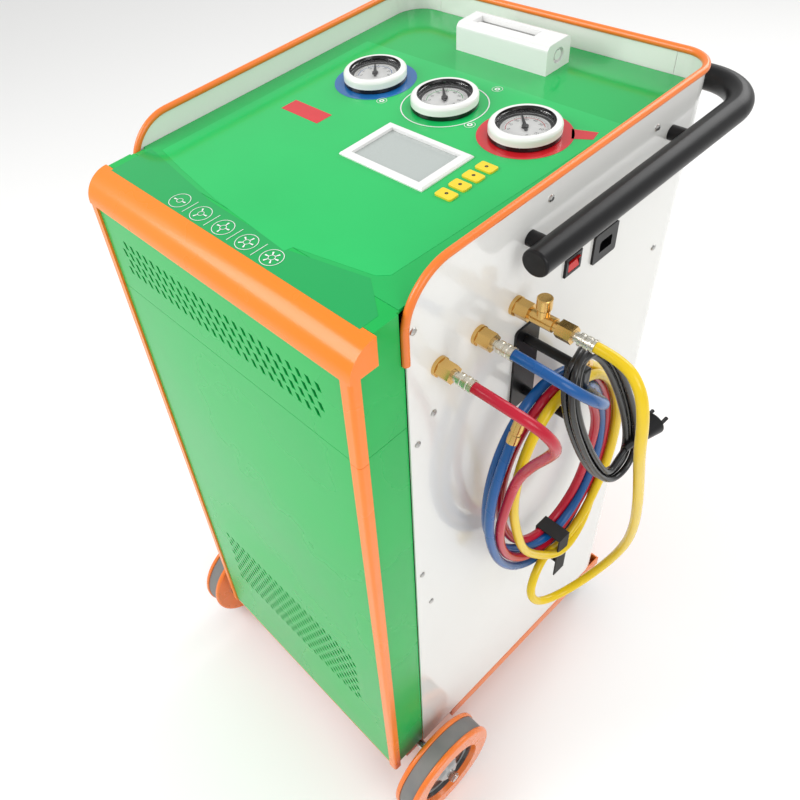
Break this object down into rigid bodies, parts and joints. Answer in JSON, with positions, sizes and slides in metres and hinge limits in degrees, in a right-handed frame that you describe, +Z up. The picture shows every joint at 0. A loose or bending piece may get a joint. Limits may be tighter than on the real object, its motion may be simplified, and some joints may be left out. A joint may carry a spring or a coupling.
{
  "type": "air conditioning recharge station",
  "caption": "Wheeled sheet-metal cabinet for charging vehicle air conditioning, with sloped-edge control deck, pressure gauges, screen, keys, printer, push handle and service hoses.",
  "frame": {"origin": "middle of the footprint's box at floor level", "axes": "+Z up, -Y the front with the vents, +X the side with the service ports"},
  "size_m": [0.7293, 0.704, 1.208],
  "materials": {
    "orange_paint": "smooth semi-gloss",
    "green_moulding": "glossy",
    "white_paint": "smooth satin",
    "orange_plastic": "semi-gloss",
    "orange_rubber": "satin",
    "black_paint": "powder coat",
    "black_plastic": "satin",
    "white_plastic": "satin",
    "screen_glass": "satin",
    "gauge_white": "gloss",
    "clear_glass": "clear",
    "yellow_plastic": "satin",
    "red_plastic": "gloss",
    "paper_white": "matt",
    "brass": "machined",
    "steel": "satin",
    "zinc_steel": "zinc plated",
    "grey_rubber": "matt",
    "black_rubber": "matt",
    "tank_blue": "satin",
    "aluminium": "satin",
    "hose_red": "smooth",
    "hose_blue": "smooth",
    "hose_yellow": "smooth",
    "strap_fabric": "woven"
  },
  "bodies": {
    "cabinet": {"back_panel": "white_paint", "base_chassis": "orange_paint", "blue_hose": "hose_blue", "caster_plates": "zinc_steel", "compressor": "black_paint", "condenser_unit": "aluminium", "control_deck": "green_moulding", "display_bezel": "white_plastic", "display_screen": "screen_glass", "edge_trim": "orange_rubber", "front_axle": "steel", "gauge_cases": "gauge_white", "gauge_glasses": "clear_glass", "handle_fittings": "black_plastic", "hose_coil": "hose_red", "hose_ferrules": "steel", "hose_hook": "black_paint", "hose_strap": "strap_fabric", "inner_shelf": "zinc_steel", "left_side_panel": "white_paint", "lower_fascia": "green_moulding", "lower_fascia_frame": "orange_plastic", "manifold_block": "aluminium", "panel_screws": "zinc_steel", "power_cord_coil": "black_rubber", "power_inlet": "black_plastic", "power_plug": "black_plastic", "printer_housing": "white_plastic", "push_handle": "black_paint", "rear_lower_cover": "orange_paint", "red_hose": "hose_red", "refrigerant_tank": "tank_blue", "right_side_panel": "white_paint", "scale_platform": "aluminium", "service_ports": "brass", "switch_bezel": "black_plastic", "upper_fascia": "green_moulding", "upper_fascia_frame": "orange_plastic", "vacuum_pump": "aluminium", "valve_body": "brass", "yellow_hose": "hose_yellow"},
    "gauge_1": {"gauge_pointer_1": "black_plastic"},
    "gauge_2": {"gauge_pointer_2": "black_plastic"},
    "gauge_3": {"gauge_pointer_3": "black_plastic"},
    "key_1": {"key_1": "yellow_plastic"},
    "key_2": {"key_2": "yellow_plastic"},
    "key_3": {"key_3": "yellow_plastic"},
    "key_4": {"key_4": "yellow_plastic"},
    "rocker": {"rocker_switch": "red_plastic"},
    "valve_knob": {"valve_knob": "brass"},
    "paper_roll": {"paper_roll": "paper_white"},
    "fan": {"condenser_fan": "black_plastic"},
    "right_wheel": {"right_wheel_rim": "orange_plastic", "right_tyre": "grey_rubber"},
    "left_wheel": {"left_wheel_rim": "orange_plastic", "left_tyre": "grey_rubber"},
    "right_swivel": {"right_caster_fork": "zinc_steel"},
    "left_swivel": {"left_caster_fork": "zinc_steel"},
    "right_roller": {"right_caster_wheel": "black_rubber"},
    "left_roller": {"left_caster_wheel": "black_rubber"}
  },
  "joints": [
    {"name": "gauge_needle_1", "type": "hinge", "parent": "cabinet", "child": "gauge_1", "pos_m": [-0.112, 0.067, 1.174], "axis": [0, 0, -1], "range_deg": [0, 270]},
    {"name": "gauge_needle_2", "type": "hinge", "parent": "cabinet", "child": "gauge_2", "pos_m": [0.009, 0.067, 1.174], "axis": [0, 0, -1], "range_deg": [0, 270]},
    {"name": "gauge_needle_3", "type": "hinge", "parent": "cabinet", "child": "gauge_3", "pos_m": [0.13, 0.067, 1.174], "axis": [0, 0, -1], "range_deg": [0, 270]},
    {"name": "key_press_1", "type": "slide", "parent": "cabinet", "child": "key_1", "axis": [0, 0, -1], "range_m": [0, 0.0012], "stiffness_N_per_m": 250},
    {"name": "key_press_2", "type": "slide", "parent": "cabinet", "child": "key_2", "axis": [0, 0, -1], "range_m": [0, 0.0012], "stiffness_N_per_m": 250},
    {"name": "key_press_3", "type": "slide", "parent": "cabinet", "child": "key_3", "axis": [0, 0, -1], "range_m": [0, 0.0012], "stiffness_N_per_m": 250},
    {"name": "key_press_4", "type": "slide", "parent": "cabinet", "child": "key_4", "axis": [0, 0, -1], "range_m": [0, 0.0012], "stiffness_N_per_m": 250},
    {"name": "mains_switch", "type": "hinge", "parent": "cabinet", "child": "rocker", "pos_m": [0.236, 0.024, 1.062], "axis": [0, 1, 0], "range_deg": [0, 14]},
    {"name": "valve_turn", "type": "hinge", "parent": "cabinet", "child": "valve_knob", "pos_m": [0.274, -0.078, 1.086], "axis": [0, 0, 1], "range_deg": [0, 360]},
    {"name": "paper_feed", "type": "hinge", "parent": "cabinet", "child": "paper_roll", "pos_m": [0, 0.217, 1.192], "axis": [1, 0, 0], "continuous": true},
    {"name": "fan_spin", "type": "hinge", "parent": "cabinet", "child": "fan", "pos_m": [0, -0.199, 0.249], "axis": [0, 1, 0], "continuous": true},
    {"name": "right_wheel_spin", "type": "hinge", "parent": "cabinet", "child": "right_wheel", "pos_m": [0.285, -0.252, 0.1], "axis": [1, 0, 0], "continuous": true},
    {"name": "right_caster_swivel", "type": "hinge", "parent": "cabinet", "child": "right_swivel", "pos_m": [0.208, 0.231, 0.09], "axis": [0, 0, 1], "continuous": true},
    {"name": "right_caster_spin", "type": "hinge", "parent": "right_swivel", "child": "right_roller", "pos_m": [0.208, 0.259, 0.04], "axis": [1, 0, 0], "continuous": true},
    {"name": "left_wheel_spin", "type": "hinge", "parent": "cabinet", "child": "left_wheel", "pos_m": [-0.285, -0.252, 0.1], "axis": [1, 0, 0], "continuous": true},
    {"name": "left_caster_swivel", "type": "hinge", "parent": "cabinet", "child": "left_swivel", "pos_m": [-0.208, 0.231, 0.09], "axis": [0, 0, 1], "continuous": true},
    {"name": "left_caster_spin", "type": "hinge", "parent": "left_swivel", "child": "left_roller", "pos_m": [-0.208, 0.259, 0.04], "axis": [1, 0, 0], "continuous": true}
  ]
}
